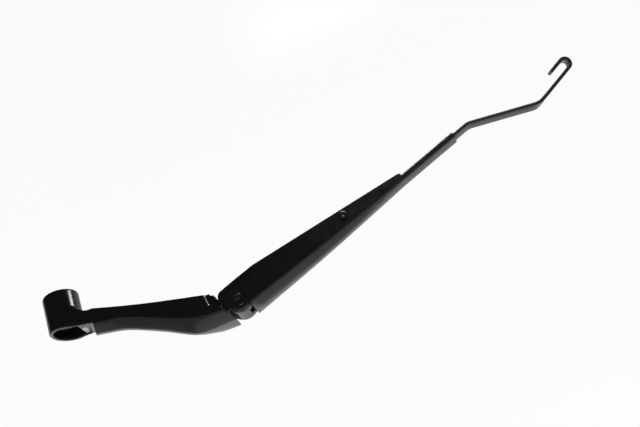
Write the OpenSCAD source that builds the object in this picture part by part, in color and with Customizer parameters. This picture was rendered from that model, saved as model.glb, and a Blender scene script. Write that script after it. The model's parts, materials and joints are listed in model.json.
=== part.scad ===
/* [Hub] */
// Outer diameter of the tall hub
hub_d = 31.2; // [28:0.2:36]
// Length of the hub's skirt below the stud bore, towards the glass
skirt_h = 19; // [14:0.5:24]
// Diameter of the hollow skirt around the spindle's collar
skirt_d = 23.4; // [20:0.2:25]
// Depth of the hollow skirt
skirt_depth = 9.5; // [6:0.5:12]
// Diameter of the threaded stud
stud_d = 10; // [8:0.5:12]
// Clearance around the stud, each side
stud_clear = 0.2; // [0.1:0.05:0.4]
// Length of the straight stud bore
stud_land = 5; // [4:0.5:7]
// Widest diameter of the tapered seat for the knurled spindle
taper_d = 15.2; // [14.4:0.1:17]
// Narrowest diameter of the tapered seat
taper_tip_d = 12.6; // [12:0.1:14]
// Height of the outer rim above the nut seat, at the spindle axis
rim_h = 11.7; // [9:0.5:14]
// Slope of the outer rim along the arm
rim_slope = 11.3; // [8:0.5:14]
// Wall around the nut recess
recess_wall = 3.2; // [2.4:0.1:4]

/* [Head] */
// Distance from the spindle axis to the end of the nut recess
recess_end = 24.6; // [22:0.5:27]
// Width of the neck beside the nut recess
neck_w = 22; // [20:0.5:25]
// Width of the head at the hinge shoulder
head_w = 26; // [25:0.5:29]
// Height of the neck's corner above the stud bore, at the recess
neck_top = 24.4; // [23:0.2:26]
// Height of the head's corner above the stud bore, at the shoulder
head_top = 60.4; // [59:0.2:61]
// Crown of the outer face at the shoulder
head_crown = 3.4; // [2:0.2:4.2]
// Height of the neck's glass edge at the recess
neck_low = 9; // [8:0.2:11]
// Height of the head's glass edge at the shoulder
head_low = 40.4; // [38:0.2:42]
// Corner rounding of the casting
cast_r = 2.4; // [1:0.2:3]
// Wall of the casting around its hollow underside
cast_wall = 2.8; // [2.2:0.1:3.4]
// Start of the side shoulder, from the spindle axis
shoulder_x = 125; // [122:0.5:128]
// Number of cross ribs in the hollow underside
rib_count = 2; // [1:1:4]
// Thickness of a cross rib
rib_t = 2.2; // [1.6:0.1:3]

/* [Hinge] */
// Distance from the spindle axis to the hinge pin
hinge_x = 149.8; // [148:0.2:152]
// Height of the hinge pin above the stud bore
hinge_z = 53.6; // [53:0.2:54.4]
// Diameter of the hinge pin
pin_d = 5; // [4:0.1:5.6]
// Diameter of the pin's formed ends
pin_head_d = 6.6; // [6.2:0.1:8]
// Height of the pin's formed ends
pin_head_h = 0.9; // [0.6:0.1:1.4]
// Outer diameter of the hinge bushes
bush_d = 8.8; // [7.6:0.1:9.6]
// Diameter of the bush flanges
flange_d = 15; // [12:0.5:17]
// Thickness of the bush flanges
flange_t = 0.6; // [0.4:0.1:0.7]
// Running clearance between hinge pieces
run_clear = 0.08; // [0.04:0.01:0.12]
// Radius of the rounded nose of the tongue
nose_r = 12.2; // [11.6:0.1:12.3]
// Gap between the head's shoulder and the round ears
ear_gap = 0.7; // [0.4:0.1:1]

/* [Retainer] */
// Length of the retainer from the edge of its spine to the end of the crimp
retainer_l = 219; // [205:1:240]
// Slope of the retainer towards the glass
retainer_pitch = 19; // [18:0.5:20]
// Width of the retainer at the hinge
retainer_w = 26; // [25.6:0.2:27]
// Width of the crimp
crimp_w = 12; // [11.8:0.1:13]
// Length of the crimp that holds the rod
crimp_l = 58; // [45:1:65]
// Thickness of the pressed sheet
sheet_t = 1.2; // [1:0.1:1.4]
// Outer bend radius between spine and cheeks
bend_r = 3; // [2:0.2:3.6]
// Depth of the cheeks at the hinge
cheek_h = 25.8; // [25:0.2:27]
// Depth of the cheeks where they end at the crimp
cheek_end_h = 7.2; // [6.6:0.2:8]
// Length of the deep part of the cheeks beyond the spine's edge
cheek_deep_l = 21; // [16:1:28]
// Distance of the spine's edge ahead of the hinge pin
spine_ahead = 5.4; // [5:0.1:6.2]
// Height of the spine above the hinge pin
spine_over = 12.8; // [12.6:0.1:13.4]
// Radius of the ears around the hinge pin
ear_r = 12.9; // [12.5:0.1:13]

/* [Spring] */
// Distance of the spring pin beyond the spine's edge
spring_pin_s = 104.6; // [98:0.5:110]
// Distance of the spring pin below the spine
spring_pin_z = 9.7; // [8.6:0.1:10.4]
// Diameter of the spring pin
spring_pin_d = 4.6; // [4:0.1:5]
// Distance of the anchor pin from the hinge pin
anchor_r = 9; // [8.6:0.1:9.6]
// Diameter of the anchor pin
anchor_d = 4; // [3.4:0.1:4.4]
// Direction of the anchor pin, below the retainer's line
anchor_a = 95; // [92:1:98]
// Length of the link between the anchor pin and the spring
link_l = 28; // [26:0.5:32]
// Thickness of the link
link_t = 4; // [3:0.2:4.6]
// Width of the link's strap
link_w = 3.4; // [3:0.1:3.6]
// Outer diameter of the spring
spring_d = 11; // [9:0.5:12]
// Diameter of the spring wire
wire_d = 2; // [1.6:0.1:2.2]
// Number of turns of the spring
spring_turns = 28; // [20:1:30]

/* [Rod] */
// Width of the flat rod
rod_w = 9; // [8.6:0.1:9.2]
// Thickness of the flat rod
rod_t = 3; // [2.8:0.1:3.2]
// Rounding of the rod's edges
rod_edge_r = 0.9; // [0.4:0.1:1.2]
// Clearance between rod and crimp, each side
rod_clear = 0.05; // [0.03:0.01:0.1]
// Length of the rod inside the retainer
rod_inside = 70; // [55:1:80]
// Distance from the crimp to the outward bend
bend1_at = 15.7; // [12:0.1:20]
// Angle of the outward bend
bend1_a = 27.8; // [15:0.2:32]
// Radius of the outward bend
bend1_r = 13; // [10:1:18]
// Distance between the two bends
bend_gap = 60; // [50:1:75]
// Angle of the bend towards the glass
bend2_a = 38.6; // [20:0.2:42]
// Radius of the bend towards the glass
bend2_r = 14; // [10:1:20]
// Distance from the second bend to the start of the hook
leg_l = 43; // [38:1:52]
// Twist that sets the hook square to the glass
twist_a = 16.2; // [4:0.2:20]
// Length over which the rod is twisted
twist_l = 20; // [14:1:28]
// Clear gap between the legs of the hook
hook_gap = 6.3; // [5.6:0.1:7.4]
// Length of the hook's short leg
hook_leg = 15; // [12:0.5:18]

/* [Hidden] */
$fn = 64;
e = 0.01;
hub_r = hub_d / 2;
nut_seat_z = stud_land;
mouth_z = -skirt_h;
rim_z = nut_seat_z + rim_h;
ramp = tan(rim_slope);
hinge = [hinge_x, 0, hinge_z];
black = [0.03, 0.03, 0.033];

// Retainer frame: s along the spine, z outward from its outer face, at the spine's edge
cp = cos(retainer_pitch);
sp = sin(retainer_pitch);
spine_x = hinge_x + spine_ahead * cp + spine_over * sp;
spine_z = hinge_z - spine_ahead * sp + spine_over * cp;
module on_retainer() { translate([spine_x, 0, spine_z]) rotate([0, retainer_pitch, 0]) children(); }

// Inner half width between the cheeks and half width of the tongue
cheek_in = retainer_w / 2 - sheet_t;
tongue_hw = cheek_in - flange_t - 2 * run_clear;
slot_hw = link_t / 2 + 1.4;

// A bar along Y, centred
module cross_bar(d, l) { rotate([90, 0, 0]) cylinder(d = d, h = l, center = true); }
// A profile in X and Z, extruded along Y and centred
module side_slab(w, pts) { rotate([90, 0, 0]) linear_extrude(height = w, center = true) polygon(pts); }

// Skin through a list of rings that all have the same number of points; a folded strip, such as
// a channel's section, runs out along one side and back along the other
module skin(rings, folded = false) {
    n = len(rings[0]);
    m = len(rings);
    pts = [for (r = rings) each r];
    sides = [for (i = [0:m - 2], j = [0:n - 1])
        [i * n + j, i * n + (j + 1) % n, (i + 1) * n + (j + 1) % n, (i + 1) * n + j]];
    ends = folded ? [for (j = [0:n / 2 - 2]) [j, n - 1 - j, n - 2 - j, j + 1]] : [];
    k = (m - 1) * n;
    quads = concat(sides, ends, [for (q = ends) [k + q[3], k + q[2], k + q[1], k + q[0]]]);
    tris = [for (q = quads) each [[q[0], q[2], q[1]], [q[0], q[3], q[2]]]];
    caps = folded ? [] : [[for (j = [0:n - 1]) j], [for (j = [n - 1:-1:0]) k + j]];
    polyhedron(points = pts, faces = concat(tris, caps));
}

function mix(a, b, t) = a + (b - a) * t;
function ease(t) = t <= 0 ? 0 : t >= 1 ? 1 : t * t * (3 - 2 * t);
function arc(cx, cy, r, a0, a1, n) =
    [for (i = [0:n]) [cx + r * cos(mix(a0, a1, i / n)), cy + r * sin(mix(a0, a1, i / n))]];

// Outline of the head along X
neck_x = recess_end + 4;
body_end = hinge_x - 4;
function along(x) = (x - neck_x) / (shoulder_x - neck_x);
function half_w(x) = x < neck_x ? mix(hub_r - 0.25, neck_w / 2, (x - 3) / (neck_x - 3))
    : mix(neck_w / 2, head_w / 2, ease(along(x)));
function top_z(x) = x < neck_x ? neck_top + (x - neck_x) * ramp
    : mix(neck_top, head_top, 0.5 * min(along(x), 1) + 0.5 * ease((x - neck_x - 12) / 78));
function low_z(x) = x < neck_x ? neck_low - (hub_r - 3) * (1 - ease((x - 4) / (neck_x - 8)))
    : mix(neck_low, head_low, min(along(x), 1)) + 1.2 * sin(180 * min(along(x), 1));
function crown(x) = head_crown * ease(along(x) * 1.15);
function head_ring(x) = let (w = half_w(x), zt = top_z(x), zb = low_z(x), c = crown(x), r = cast_r)
    [for (p = concat([[-w + 1, zb], [w - 1, zb], [w, zb + 1]],
        arc(w - r, zt - r, r, 0, 60, 3),
        [for (i = [4:-1:-4]) let (y = (w - r) * i / 4.4) [y, zt + c * (1 - (i / 4.4) * (i / 4.4))]],
        arc(-w + r, zt - r, r, 120, 180, 3),
        [[-w, zb + 1]])) [x, p[0], p[1]]];

// Hollow underside: what lies below the outer wall, inside the side walls
module underside() {
    x0 = neck_x + 3;
    x1 = shoulder_x - 6;
    n = 12;
    steps = [for (i = [0:n]) mix(x0, x1, i / n)];
    intersection() {
        side_slab(60, concat([for (x = steps) [x, top_z(x) - cast_wall - 0.8]],
            [[x1, -10], [x0, -10]]));
        translate([0, 0, -20]) linear_extrude(height = 120)
            polygon(concat([for (x = steps) [x, half_w(x) - cast_wall]],
                [for (i = [n:-1:0]) [steps[i], cast_wall - half_w(steps[i])]]));
    }
}
module ribs() {
    x0 = neck_x + 3;
    x1 = shoulder_x - 6;
    for (i = [1:rib_count]) let (x = mix(x0, x1, i / (rib_count + 1)))
        translate([x - rib_t / 2, -head_w / 2 + 1, low_z(x) + 3.5])
            cube([rib_t, head_w - 2, top_z(x) - low_z(x) - 4.5]);
}

// Plan of the nut recess, with a round end at the spindle and a narrower end at the neck
module recess_plan() {
    rr = hub_r - recess_wall;
    hw = neck_w / 2 - recess_wall * 0.55;
    circle(r = rr);
    polygon([[rr * 0.16, rr * 0.985], [recess_end, hw], [recess_end, -hw], [rr * 0.16, -rr * 0.985]]);
}

// The tongue between the cheeks: nose, lobe for the anchor pin and the notch behind the ears
anchor_dir = -anchor_a - retainer_pitch;
anchor = [hinge_x + anchor_r * cos(anchor_dir), 0, hinge_z + anchor_r * sin(anchor_dir)];
tongue_top = head_top + head_crown - 0.6;
lobe_r = anchor_d / 2 + 3;
module tongue() {
    rise = tongue_top - hinge_z;
    a0 = asin(rise / nose_r);
    back = hinge_x - 11.3;
    side_slab(2 * tongue_hw, concat([[shoulder_x - 4, tongue_top], [hinge_x - 8, tongue_top]],
        arc(hinge_x, hinge_z, nose_r, a0, -62, 20),
        arc(anchor[0], anchor[2], lobe_r, -48, -170, 12),
        [[back, anchor[2] + 1.6], [shoulder_x + 8.5, anchor[2] + 1.6],
         [shoulder_x + 7, head_low + 1.8], [shoulder_x - 4, low_z(shoulder_x - 4)]]));
}

module head() {
    color(black) difference() {
        union() {
            translate([0, 0, mouth_z]) cylinder(r = hub_r, h = rim_z - mouth_z + 5);
            difference() {
                skin([for (x = concat([3, 8, 12, 16, 20, 24], [neck_x],
                    [for (i = [1:14]) mix(neck_x, shoulder_x, i / 14)], [body_end])) head_ring(x)]);
                underside();
                // shoulder: the side walls stop at a bevel and at an arc around the ears
                for (m = [0, 1]) mirror([0, m, 0]) translate([0, -tongue_hw, 0])
                    rotate([90, 0, 0]) linear_extrude(height = 10) union() {
                        translate([hinge_x, hinge_z]) circle(r = ear_r + ear_gap);
                        polygon([[shoulder_x - 1.6, head_low - 4], [hinge_x + 9, head_low - 4],
                            [hinge_x + 9, hinge_z], [hinge_x - 12, hinge_z + 2],
                            [shoulder_x + 1.6, hinge_z - 2]]);
                    }
            }
            intersection() {
                ribs();
                skin([for (x = [neck_x, mix(neck_x, shoulder_x, 0.5), shoulder_x]) head_ring(x)]);
            }
            intersection() {
                tongue();
                translate([0, 0, tongue_top - 18]) rotate([0, 90, 0]) cylinder(r = 18, h = 200, $fn = 96);
            }
        }
        // outer rim, sloped like the head
        translate([-hub_r - 5, -40, 0]) multmatrix([[1, 0, 0, 0], [0, 1, 0, 0], [ramp, 0, 1, 0]])
            translate([0, 0, rim_z - ramp * (hub_r + 5)])
                cube([hub_r + 5 + neck_x - 1, 80, 30]);
        // nut recess with its ramped end
        difference() {
            translate([0, 0, nut_seat_z]) linear_extrude(height = 40) recess_plan();
            side_slab(60, [[12.8, nut_seat_z - 1], [recess_end + 2, nut_seat_z - 1],
                [recess_end + 2, rim_z + recess_end * ramp - 2.6], [12.8, nut_seat_z + 1.2]]);
        }
        // stud bore, tapered seat and hollow skirt
        translate([0, 0, -e]) cylinder(d = stud_d + 2 * stud_clear, h = stud_land + 1);
        translate([0, 0, mouth_z + skirt_depth - e])
            cylinder(d1 = taper_d, d2 = taper_tip_d, h = skirt_h - skirt_depth + e);
        translate([0, 0, mouth_z - 1]) cylinder(d = skirt_d, h = skirt_depth + 1);
        // tongue end of the casting
        translate(hinge) cross_bar(bush_d, 40);
        translate(anchor) cross_bar(anchor_d, 40);
        side_slab(2 * slot_hw, [[hinge_x - 11, 20], [hinge_x + 20, 20], [hinge_x + 20, tongue_top + 9],
            [hinge_x + 7, tongue_top + 4], [hinge_x + 0.4, hinge_z + 5], [hinge_x - 9, hinge_z + 5],
            [hinge_x - 11, hinge_z + 2]]);
    }
}

// Flanged bush on one side of the tongue; side is 1 or -1
module hinge_bush(side) {
    l = tongue_hw - slot_hw;
    translate(hinge) rotate([side > 0 ? -90 : 90, 0, 0]) difference() {
        union() {
            translate([0, 0, slot_hw]) cylinder(d = bush_d - 2 * run_clear / 2, h = l + flange_t);
            translate([0, 0, tongue_hw + run_clear / 2]) cylinder(d = flange_d, h = flange_t);
        }
        translate([0, 0, slot_hw - 1]) cylinder(d = pin_d + 2 * run_clear, h = l + flange_t + 2);
    }
}
module hinge_bush_left() { color([0.82, 0.8, 0.72]) hinge_bush(1); }
module hinge_bush_right() { color([0.82, 0.8, 0.72]) hinge_bush(-1); }

// Rivet with a low formed head and a dished centre at each end
module rivet(d, l, head_d, head_h) {
    rotate([90, 0, 0]) rotate_extrude() polygon([
        [0, -l / 2 - head_h * 0.5], [d * 0.24, -l / 2 - head_h * 0.5], [d * 0.4, -l / 2 - head_h],
        [head_d / 2 - head_h * 0.5, -l / 2 - head_h], [head_d / 2, -l / 2 - head_h * 0.4],
        [head_d / 2, -l / 2], [d / 2, -l / 2], [d / 2, l / 2], [head_d / 2, l / 2],
        [head_d / 2, l / 2 + head_h * 0.4], [head_d / 2 - head_h * 0.5, l / 2 + head_h],
        [d * 0.4, l / 2 + head_h], [d * 0.24, l / 2 + head_h * 0.5], [0, l / 2 + head_h * 0.5]]);
}
module hinge_pin() { color(black) translate(hinge) rivet(pin_d, retainer_w, pin_head_d, pin_head_h); }
module anchor_pin() { color([0.35, 0.35, 0.37]) translate(anchor) cross_bar(anchor_d, 2 * tongue_hw - 0.4); }

// Retainer: a pressed channel that narrows to the crimp
crimp_s = retainer_l - crimp_l;
function ret_hw(s) = s <= 4 ? retainer_w / 2 : mix(retainer_w / 2, crimp_w / 2, (s - 4) / (crimp_s + 6));
function ret_h(s) = s <= cheek_deep_l ? cheek_h
    : s <= crimp_s - 3 ? mix(cheek_h, cheek_end_h, (s - cheek_deep_l) / (crimp_s - 3 - cheek_deep_l))
    : mix(crimp_h + 0.2, cheek_end_h, sqrt(max(0, 1 - pow((s - crimp_s + 3) / 5, 2))));
crimp_h = rod_t + 2 * rod_clear + 2 * sheet_t;
function ret_ring(s) = let (w = ret_hw(s), h = ret_h(s), r = bend_r, t = sheet_t, q = 5)
    [for (p = concat([[w, -h]], arc(w - r, -r, r, 0, 90, q), arc(-w + r, -r, r, 90, 180, q),
        [[-w, -h], [-w + t, -h]], arc(-w + r, -r, r - t, 180, 90, q),
        arc(w - r, -r, r - t, 90, 0, q), [[w - t, -h]])) [s, p[0], p[1]]];
pin_s = -spine_ahead;
pin_z = -spine_over;
module ear() {
    a0 = acos(spine_ahead / ear_r);
    rear = pin_s - ear_r;
    rotate([90, 0, 0]) linear_extrude(height = sheet_t) polygon(concat(
        arc(pin_s, pin_z, ear_r, a0, 180, 24), arc(rear + 5, 5 - cheek_h, 5, 180, 270, 8),
        [[2, -cheek_h], [2, -bend_r - 0.4], [0, -bend_r - 0.4]]));
}
module crimp_profile() {
    r = 1.7;
    w = crimp_w / 2;
    rw = rod_w / 2 + rod_clear;
    difference() {
        polygon(concat(arc(w - r, -r, r, 0, 90, 5), arc(-w + r, -r, r, 90, 180, 5),
            arc(-w + r, r - crimp_h, r, 180, 270, 5), arc(w - r, r - crimp_h, r, 270, 360, 5)));
        translate([-rw, sheet_t - crimp_h]) square([2 * rw, rod_t + 2 * rod_clear]);
        translate([-rod_w * 0.17, -crimp_h - 1]) square([rod_w * 0.34, 3]);
    }
}
module retainer() {
    stations = concat([0, 4, cheek_deep_l], [for (i = [1:5]) mix(cheek_deep_l, crimp_s - 3, i / 5)],
        [for (i = [1:5]) crimp_s - 3 + 5 * sin(i * 18)]);
    color(black) on_retainer() difference() {
        union() {
            skin([for (s = stations) ret_ring(s)], folded = true);
            translate([0, retainer_w / 2, 0]) ear();
            translate([0, -retainer_w / 2 + sheet_t, 0]) ear();
            translate([crimp_s, 0, 0]) rotate([90, 0, 90]) linear_extrude(height = crimp_l) crimp_profile();
        }
        translate([pin_s, 0, pin_z]) cross_bar(pin_d + 2 * run_clear, 60);
        translate([spring_pin_s, 0, -spring_pin_z]) cross_bar(spring_pin_d + 2 * rod_clear, 60);
        translate([crimp_s - 1, -rod_w / 2 - rod_clear, -sheet_t - rod_t - 2 * rod_clear])
            cube([crimp_l / 2, rod_w + 2 * rod_clear, rod_t + 2 * rod_clear]);
    }
}
module spring_pin() {
    color(black) on_retainer() translate([spring_pin_s, 0, -spring_pin_z])
        rivet(spring_pin_d, 2 * ret_hw(spring_pin_s - pin_head_d / 2) + 0.02, pin_head_d - 0.3, pin_head_h);
}

// Spring line, in the retainer frame: from the anchor pin to the spring pin
anchor_s = pin_s + anchor_r * cos(-anchor_a);
anchor_sz = pin_z + anchor_r * sin(-anchor_a);
line_l = norm([spring_pin_s - anchor_s, anchor_sz + spring_pin_z]);
line_a = atan2(-spring_pin_z - anchor_sz, spring_pin_s - anchor_s);
module on_line() { on_retainer() translate([anchor_s, 0, anchor_sz]) rotate([0, -line_a, 0]) children(); }

// C-shaped link that passes under the hinge pin
module spring_link() {
    bow_x = anchor_r - 0.1;
    bow_z = 1.2;
    bow_in = pin_d / 2 + 0.8;
    color([0.3, 0.3, 0.32]) on_line() rotate([90, 0, 0])
        linear_extrude(height = link_t, center = true) difference() {
            union() {
                circle(d = anchor_d + 4.4);
                translate([link_l, 0]) circle(d = wire_d + 6);
                translate([bow_x, bow_z]) polygon(concat(arc(0, 0, bow_in + link_w, 180, 360, 24),
                    arc(0, 0, bow_in, 360, 180, 24)));
                translate([bow_x + bow_in, -link_w / 2]) square([link_l - bow_x - bow_in, link_w]);
                translate([0, -0.6]) square([bow_x - bow_in, 1.8]);
            }
            circle(d = anchor_d + 2 * run_clear);
            translate([link_l, 0]) circle(d = wire_d + 1.4);
        }
}

// Tension spring: close coil with a hooked loop at each end, as one swept wire
coil_r = (spring_d - wire_d) / 2;
hook_r = spring_pin_d / 2 + wire_d / 2 + 0.15;
loop_r = link_t / 2 + wire_d / 2 + 0.6;
loop_x = link_l + loop_r - 0.2;
coil_0 = loop_x + loop_r + wire_d;
coil_1 = line_l - 9.5;
function wire_ring(p, q, sides) = let (t = (q - p) / norm(q - p), u = cross(t, [0.31, 0.9, 0.29]),
    a = u / norm(u), b = cross(t, a), r = wire_d / 2)
    [for (k = [0:sides - 1]) p + r * (cos(360 * k / sides) * a + sin(360 * k / sides) * b)];
function coil_point(t) = [mix(coil_0, coil_1, t), coil_r * sin(360 * spring_turns * t),
    coil_r * cos(360 * spring_turns * t)];
module spring() {
    n = spring_turns * 12;
    coil = [for (i = [0:n]) coil_point(i / n)];
    color([0.25, 0.25, 0.27]) on_line() {
        skin([for (i = [0:n]) wire_ring(coil[i], i < n ? coil[i + 1] : 2 * coil[n] - coil[n - 1], 6)]);
        // loop around the spring pin
        spring_stem(line_l - hook_r, coil_1);
        translate([line_l, 0, 0]) rotate([90, -120, 0]) wire_loop(hook_r);
        // loop through the eye of the link, square to the first
        spring_stem(loop_x + loop_r, coil_0);
        translate([loop_x, 0, 0]) wire_loop(loop_r);
    }
}
// Bar from the coil's rim to the middle and along the middle to a loop
module spring_stem(to, from) {
    translate([from, 0, 0]) cylinder(d = wire_d, h = coil_r, $fn = 16);
    translate([min(from, to), 0, 0]) rotate([0, 90, 0]) cylinder(d = wire_d, h = abs(to - from), $fn = 16);
}
module wire_loop(r) {
    rotate_extrude(angle = 300, $fn = 48) translate([r, 0]) circle(d = wire_d, $fn = 16);
}

// Flat rod: the same section is carried through bends, twist and hook
rod_r = rod_edge_r;
bar_pts = concat(
    arc(rod_w / 2 - rod_r, rod_t / 2 - rod_r, rod_r, 0, 90, 3),
    arc(-rod_w / 2 + rod_r, rod_t / 2 - rod_r, rod_r, 90, 180, 3),
    arc(-rod_w / 2 + rod_r, -rod_t / 2 + rod_r, rod_r, 180, 270, 3),
    arc(rod_w / 2 - rod_r, -rod_t / 2 + rod_r, rod_r, 270, 360, 3));
module bar(l) { rotate([90, 0, 90]) linear_extrude(height = l) polygon(bar_pts); }
// Hidden core that carries the section over the line where a bend ends
module core() { translate([-0.3, 0, 0]) rotate([90, 0, 90]) linear_extrude(height = 0.7) polygon(bar_pts * 0.96); }
// Twisted length between two short straight ends, a hair slimmer where it runs into them
module twisted_bar(l, a) {
    k = 0.99;
    n = 8;
    turns = concat([[-0.3, 0]], [for (i = [0:n]) [l * i / n, -a * ease(i / n)]], [[l + 0.6, -a]]);
    skin([for (t = turns) [for (p = bar_pts)
        [t[0], k * (p[0] * cos(t[1]) + p[1] * sin(t[1])), k * (p[1] * cos(t[1]) - p[0] * sin(t[1]))]]]);
}
// Bend towards the glass about the inner side; the section keeps its width along Y
module bend_down(r, a) {
    translate([0, 0, -r]) rotate([-90, -90, 0]) rotate_extrude(angle = a)
        polygon([for (p = bar_pts) [r + p[1], p[0]]]);
}
module after(l) { translate([l, 0, 0]) children(); }
module after_down(r, a) { translate([r * sin(a), 0, -r * (1 - cos(a))]) rotate([0, a, 0]) children(); }
module after_up(r, a) { translate([r * sin(a), 0, r * (1 - cos(a))]) rotate([0, -a, 0]) children(); }
hook_r_mid = (hook_gap + rod_t) / 2;
tan1 = bend1_r * tan(bend1_a / 2);
tan2 = bend2_r * tan(bend2_a / 2);
seg1 = rod_inside + bend1_at - tan1;
seg2 = bend_gap - tan1 - tan2;
seg3 = leg_l - tan2 - twist_l;
module hook() {
    bar(seg3);
    after(seg3) {
        bend_down(hook_r_mid, 180);
        after_down(hook_r_mid, 180) difference() {
            bar(hook_leg);
            for (m = [0, 1]) mirror([0, m, 0]) translate([hook_leg - 2.4, rod_w / 2 - 2.4, -rod_t])
                difference() {
                    cube([4, 4, 2 * rod_t]);
                    translate([0, 0, -1]) cylinder(r = 2.4, h = 2 * rod_t + 2);
                }
        }
    }
}
module rod() {
    color(black) on_retainer()
        translate([retainer_l - rod_inside, 0, -sheet_t - rod_clear - rod_t / 2]) {
            bar(seg1);
            after(seg1) {
                mirror([0, 0, 1]) bend_down(bend1_r, bend1_a);
                after_up(bend1_r, bend1_a) {
                    core();
                    bar(seg2);
                    after(seg2) {
                        bend_down(bend2_r, bend2_a);
                        after_down(bend2_r, bend2_a) {
                            twisted_bar(twist_l, twist_a);
                            after(twist_l) rotate([twist_a, 0, 0]) hook();
                        }
                    }
                }
            }
        }
}

head();
hinge_bush_left();
hinge_bush_right();
hinge_pin();
anchor_pin();
retainer();
spring_pin();
spring_link();
spring();
rod();
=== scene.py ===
import json
import math

import bmesh
import bpy
from bpy.props import FloatProperty, FloatVectorProperty, IntProperty, PointerProperty
from mathutils import Matrix, Vector


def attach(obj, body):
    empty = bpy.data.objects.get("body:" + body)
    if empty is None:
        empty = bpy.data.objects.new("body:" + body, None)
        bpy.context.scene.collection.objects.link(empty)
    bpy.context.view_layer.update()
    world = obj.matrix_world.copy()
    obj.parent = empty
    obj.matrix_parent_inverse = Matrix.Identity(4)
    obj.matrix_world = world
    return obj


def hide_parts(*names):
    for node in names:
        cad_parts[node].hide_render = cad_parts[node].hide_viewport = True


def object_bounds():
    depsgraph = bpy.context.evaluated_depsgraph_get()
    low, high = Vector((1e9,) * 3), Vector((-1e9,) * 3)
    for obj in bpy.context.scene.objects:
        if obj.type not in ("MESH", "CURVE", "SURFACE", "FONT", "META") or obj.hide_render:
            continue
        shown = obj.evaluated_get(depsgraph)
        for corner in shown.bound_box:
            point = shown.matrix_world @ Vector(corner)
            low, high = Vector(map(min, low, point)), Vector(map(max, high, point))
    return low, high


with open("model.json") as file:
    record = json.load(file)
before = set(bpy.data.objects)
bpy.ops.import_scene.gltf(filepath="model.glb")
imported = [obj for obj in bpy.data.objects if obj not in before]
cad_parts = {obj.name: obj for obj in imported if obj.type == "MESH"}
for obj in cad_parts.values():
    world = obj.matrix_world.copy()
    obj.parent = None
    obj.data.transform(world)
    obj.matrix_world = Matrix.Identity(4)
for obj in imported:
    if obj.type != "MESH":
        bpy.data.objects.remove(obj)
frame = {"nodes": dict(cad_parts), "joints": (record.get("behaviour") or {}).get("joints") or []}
CAD_BOX = [[float(v) for v in corner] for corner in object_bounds()]
NODES = frame["nodes"]

bl_info = {
    "name": "Sprung wiper arm",
    "version": (1, 0, 0),
    "blender": (4, 5, 0),
    "location": "3D View > Sidebar > Wiper arm",
    "description": "Dresses the packed wiper arm with its casting, pressing, rod and finishes",
    "category": "Add Mesh",
}

MM = 0.001

# Lengths below are in millimetres, in the frame of the CAD. The retainer slopes down from the
# hinge, and its own frame starts at the hinge end of its spine, ahead of and above the hinge.
HINGE = frame["joints"][0]["pos_m"]
HINGE_X, HINGE_Z = HINGE[0] / MM, HINGE[2] / MM
FULL_LIFT = 75
ROOF_Z = CAD_BOX[1][2] / MM
SLOPE = 19
PITCH = math.radians(SLOPE)
SPINE_AHEAD, SPINE_OVER = 5.4, 12.8
SPINE_X = HINGE_X + SPINE_AHEAD * math.cos(PITCH) + SPINE_OVER * math.sin(PITCH)
SPINE_Z = HINGE_Z - SPINE_AHEAD * math.sin(PITCH) + SPINE_OVER * math.cos(PITCH)
RETAINER = Matrix.Translation((SPINE_X, 0, SPINE_Z)) @ Matrix.Rotation(PITCH, 4, "Y")
# The fixed end of the spring line: a pin through the lobe of the tongue
ANCHOR = (HINGE_X + 9 * math.cos(math.radians(-114)), HINGE_Z + 9 * math.sin(math.radians(-114)))
# Wider than any piece, for cutting tools that go right through
THROUGH = 60


# ---------------------------------------------------------------- sizes and colours
def linear(code):
    """sRGB hex value to linear colour"""
    parts = [int(code[i:i + 2], 16) / 255 for i in (0, 2, 4)]
    values = [v / 12.92 if v <= 0.04045 else ((v + 0.055) / 1.055) ** 2.4 for v in parts]
    return (*values, 1.0)


def size(name, description, default, low, high):
    """A length that a user may change, in metres"""
    return FloatProperty(name=name, description=description, default=default, min=low, max=high,
                         unit="LENGTH", precision=5)


def hue(name, description, code):
    """A colour that a user may change, with an sRGB hex value as its default"""
    return FloatVectorProperty(name=name, description=description, default=linear(code)[:3],
                               size=3, min=0, max=1, subtype="COLOR")


class WiperHeadSizes(bpy.types.PropertyGroup):
    """Sizes of the cast head"""
    neck_crown: size("Neck crown", "Height of the dome beside the nut recess", 0.0051, 0.002, 0.008)
    head_crown: size("Head crown", "Height of the dome at the hinge shoulder", 0.0121, 0.003, 0.014)
    voxel: size("Casting detail", "Edge length of the casting's mesh", 0.0006, 0.0004, 0.002)
    fillet: IntProperty(name="Fillet passes", description="Passes that round the casting's edges",
                        default=6, min=0, max=30)


class WiperRetainerSizes(bpy.types.PropertyGroup):
    """Sizes of the pressed retainer"""
    spine_crown: size("Spine crown", "Crown across the retainer's spine", 0.0028, 0.0002, 0.0035)
    spine_bow: size("Spine bow", "Rise of the spine along its length", 0.0011, 0, 0.002)


class WiperRodSizes(bpy.types.PropertyGroup):
    """Sizes of the flat rod and its hook"""
    bar_width: size("Bar width", "Width of the flat bar", 0.009, 0.006, 0.012)
    bar_thickness: size("Bar thickness", "Thickness of the flat bar", 0.003, 0.002, 0.004)
    hook_gap: size("Hook gap", "Clear space between the legs of the hook", 0.0063, 0.004, 0.009)
    short_leg: size("Short leg", "Straight part of the hook's short leg", 0.0124, 0.006, 0.02)
    hook_roll: FloatProperty(name="Hook roll", description="Roll of the hook about its own leg",
                             default=math.radians(21), min=0, max=math.radians(40),
                             subtype="ANGLE")


class WiperSpringSizes(bpy.types.PropertyGroup):
    """Sizes of the tension spring"""
    wire: size("Spring wire", "Diameter of the spring wire", 0.002, 0.001, 0.003)
    coil: size("Coil radius", "Radius of the coil at the middle of its wire", 0.0045, 0.003, 0.006)
    turns: IntProperty(name="Turns", description="Turns of the coil", default=28, min=4, max=40)


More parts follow.
